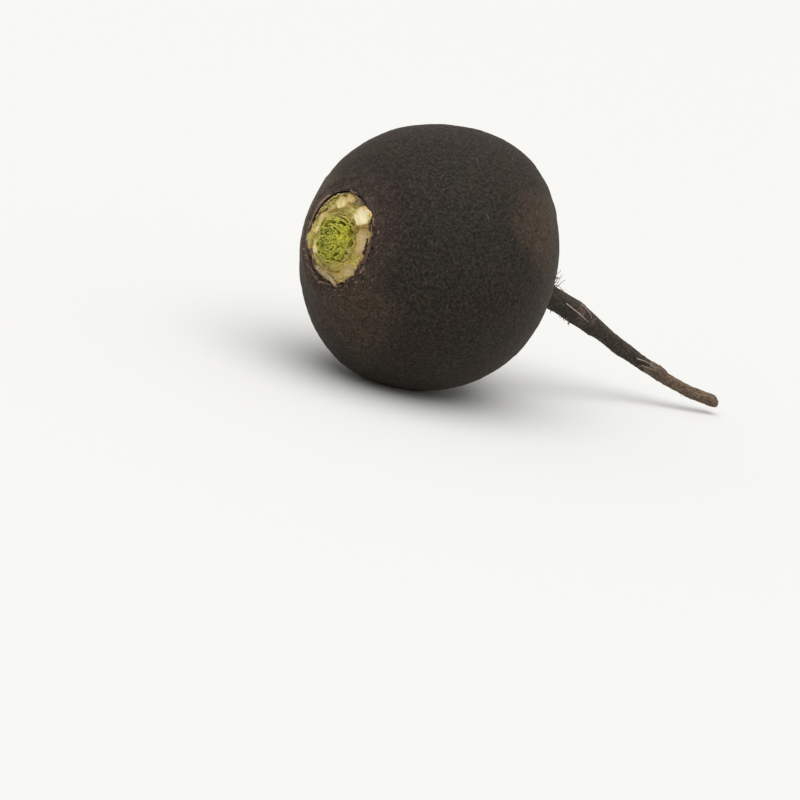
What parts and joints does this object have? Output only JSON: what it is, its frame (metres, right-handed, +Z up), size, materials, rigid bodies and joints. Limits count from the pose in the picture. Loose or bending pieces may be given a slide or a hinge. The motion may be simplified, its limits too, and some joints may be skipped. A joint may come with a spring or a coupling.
{
  "type": "black radish",
  "caption": "Round black-skinned radish lying on its side, with a long thin tail and a cut leafy crown; a root vegetable for food scenes.",
  "frame": {"origin": "middle of the small flat spot under the root, which it rests on", "axes": "+Z up, +X horizontally from the crown towards the tail; the root's axis droops 5.8 degrees towards the tail"},
  "size_m": [0.1693, 0.0832, 0.0857],
  "materials": {
    "black_skin": "matte black-brown root skin with fine net-like wrinkles; leather stands in for vegetable skin",
    "cut_stalk": "moist cream to tan cut leaf stalk; leather stands in for plant flesh",
    "young_leaf": "satin yellow-green crinkled young leaf; leather stands in for leaf tissue"
  },
  "bodies": {
    "root": {"taproot": "black_skin", "leaf_stalk_stubs": "cut_stalk", "leaf_heart": "young_leaf"}
  },
  "joints": []
}
